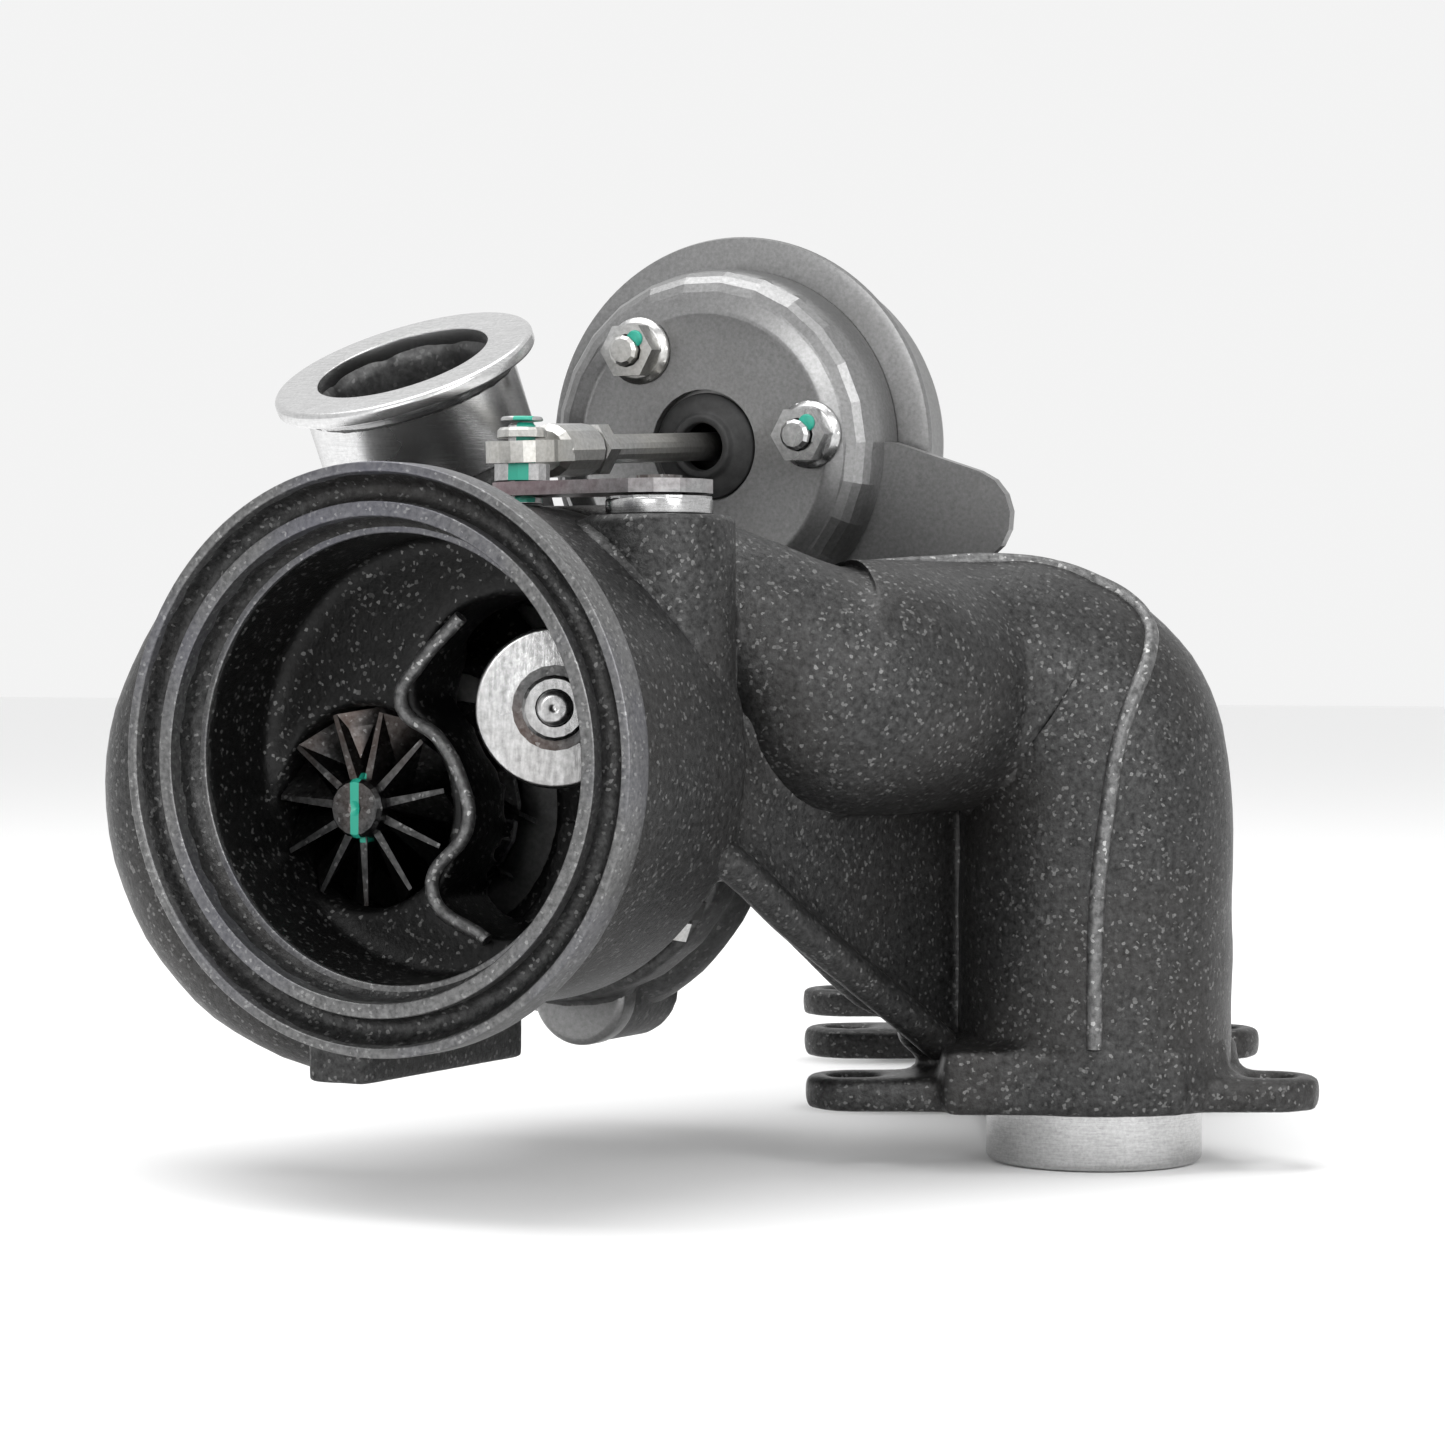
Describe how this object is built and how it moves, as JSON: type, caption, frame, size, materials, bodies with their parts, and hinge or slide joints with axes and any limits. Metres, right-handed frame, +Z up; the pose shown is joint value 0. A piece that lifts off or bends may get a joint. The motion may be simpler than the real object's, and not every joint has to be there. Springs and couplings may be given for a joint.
{
  "type": "turbocharger with integral exhaust manifold",
  "caption": "Exhaust-driven turbocharger: cast manifold and turbine housing, shaft with two wheels, wastegate with vacuum actuator, and compressor cover.",
  "frame": {"origin": "on the manifold's head face (the plane of the sealing face, z = 0), at the middle of the first two ports", "axes": "+Z up, away from the head face; +Y along the rotor shaft from the turbine to the compressor; +X across it"},
  "size_m": [0.2002, 0.3195, 0.1753],
  "materials": {
    "turbine_housing_manifold": "rough cast, dark grey",
    "centre_housing": "rough cast, dark grey",
    "port_sleeve_1": "machined steel",
    "port_sleeve_2": "machined steel",
    "port_sleeve_3": "machined steel",
    "wastegate_bushing": "machined steel",
    "bushing_lock_pin": "machined steel",
    "thrust_collar": "machined steel",
    "oil_flinger_sleeve": "machined steel",
    "bearing_spacer": "machined steel",
    "flap_washer": "machined steel",
    "compressor_nut": "machined steel",
    "wastegate_flap": "machined steel",
    "actuator_bracket": "pressed steel, satin",
    "actuator_front_shell": "pressed steel, satin",
    "actuator_rear_shell": "pressed steel, satin",
    "heat_shield": "pressed steel, satin",
    "clamp_band": "pressed steel, satin",
    "actuator_piston": "pressed steel, satin",
    "actuator_stud_1": "zinc plated steel",
    "actuator_stud_2": "zinc plated steel",
    "actuator_stud_3": "zinc plated steel",
    "actuator_nut_1": "zinc plated steel",
    "actuator_nut_2": "zinc plated steel",
    "actuator_nut_3": "zinc plated steel",
    "bracket_bolt_1": "zinc plated steel",
    "bracket_bolt_2": "zinc plated steel",
    "clamp_band_bolt": "zinc plated steel",
    "clamp_band_nut": "zinc plated steel",
    "vacuum_nipple": "zinc plated steel",
    "lever_pin": "zinc plated steel",
    "lever_pin_clip": "zinc plated steel",
    "rod_end": "zinc plated steel",
    "rod_jam_nut": "zinc plated steel",
    "actuator_rod": "zinc plated steel",
    "wastegate_lever": "zinc plated steel",
    "compressor_cover": "cast aluminium",
    "compressor_backplate": "cast aluminium",
    "compressor_wheel": "cast aluminium",
    "turbine_side_bearing": "bearing bronze",
    "compressor_side_bearing": "bearing bronze",
    "thrust_bearing": "bearing bronze",
    "rod_boot": "moulded rubber",
    "actuator_diaphragm": "moulded rubber",
    "turbine_wheel_and_shaft": "dark heat-resistant alloy",
    "wastegate_shaft_arm": "dark heat-resistant alloy",
    "actuator_return_spring": "spring steel",
    "compressor_snap_ring": "spring steel",
    "turbine_piston_ring": "spring steel",
    "compressor_piston_ring": "spring steel"
  },
  "bodies": {
    "housing": {"turbine_housing_manifold": "turbine_housing_manifold", "centre_housing": "centre_housing", "port_sleeve_1": "port_sleeve_1", "port_sleeve_2": "port_sleeve_2", "port_sleeve_3": "port_sleeve_3", "wastegate_bushing": "wastegate_bushing", "bushing_lock_pin": "bushing_lock_pin", "bearing_spacer": "bearing_spacer", "actuator_bracket": "actuator_bracket", "actuator_front_shell": "actuator_front_shell", "actuator_rear_shell": "actuator_rear_shell", "heat_shield": "heat_shield", "clamp_band": "clamp_band", "actuator_stud_1": "actuator_stud_1", "actuator_stud_2": "actuator_stud_2", "actuator_stud_3": "actuator_stud_3", "actuator_nut_1": "actuator_nut_1", "actuator_nut_2": "actuator_nut_2", "actuator_nut_3": "actuator_nut_3", "bracket_bolt_1": "bracket_bolt_1", "bracket_bolt_2": "bracket_bolt_2", "clamp_band_bolt": "clamp_band_bolt", "clamp_band_nut": "clamp_band_nut", "vacuum_nipple": "vacuum_nipple", "compressor_cover": "compressor_cover", "compressor_backplate": "compressor_backplate", "thrust_bearing": "thrust_bearing", "rod_boot": "rod_boot", "actuator_diaphragm": "actuator_diaphragm", "actuator_return_spring": "actuator_return_spring", "compressor_snap_ring": "compressor_snap_ring", "turbine_piston_ring": "turbine_piston_ring", "compressor_piston_ring": "compressor_piston_ring"},
    "rotor": {"turbine_wheel_and_shaft": "turbine_wheel_and_shaft", "compressor_wheel": "compressor_wheel", "compressor_nut": "compressor_nut", "thrust_collar": "thrust_collar", "oil_flinger_sleeve": "oil_flinger_sleeve"},
    "turbine_bearing": {"turbine_side_bearing": "turbine_side_bearing"},
    "compressor_bearing": {"compressor_side_bearing": "compressor_side_bearing"},
    "gate": {"wastegate_shaft_arm": "wastegate_shaft_arm", "wastegate_flap": "wastegate_flap", "flap_washer": "flap_washer", "wastegate_lever": "wastegate_lever", "lever_pin": "lever_pin", "lever_pin_clip": "lever_pin_clip"},
    "rod": {"rod_end": "rod_end", "rod_jam_nut": "rod_jam_nut", "actuator_rod": "actuator_rod", "actuator_piston": "actuator_piston"}
  },
  "joints": [
    {"name": "rotor_spin", "type": "hinge", "parent": "housing", "child": "rotor", "pos_m": [-0.0724, -0.1, 0.0569], "axis": [0, 1, 0], "continuous": true},
    {"name": "turbine_bearing_spin", "type": "hinge", "parent": "housing", "child": "turbine_bearing", "pos_m": [-0.0724, -0.1, 0.0569], "axis": [0, 1, 0], "continuous": true},
    {"name": "compressor_bearing_spin", "type": "hinge", "parent": "housing", "child": "compressor_bearing", "pos_m": [-0.0724, -0.1, 0.0569], "axis": [0, 1, 0], "continuous": true},
    {"name": "wastegate_swing", "type": "hinge", "parent": "housing", "child": "gate", "pos_m": [-0.0257, -0.1241, 0.1123], "axis": [0, 0, 1], "range_deg": [-28, 5], "stiffness_Nm_per_rad": 1.5},
    {"name": "rod_pivot", "type": "hinge", "parent": "gate", "child": "rod", "pos_m": [-0.05225, -0.12577, 0.119], "axis": [0, 0, 1], "range_deg": [-6, 31]}
  ],
  "couplings": [
    {"joint": "turbine_bearing_spin", "follows": "rotor_spin", "ratio": 0.3},
    {"joint": "compressor_bearing_spin", "follows": "rotor_spin", "ratio": 0.3},
    {"joint": "rod_pivot", "follows": "wastegate_swing", "ratio": -1.07}
  ]
}
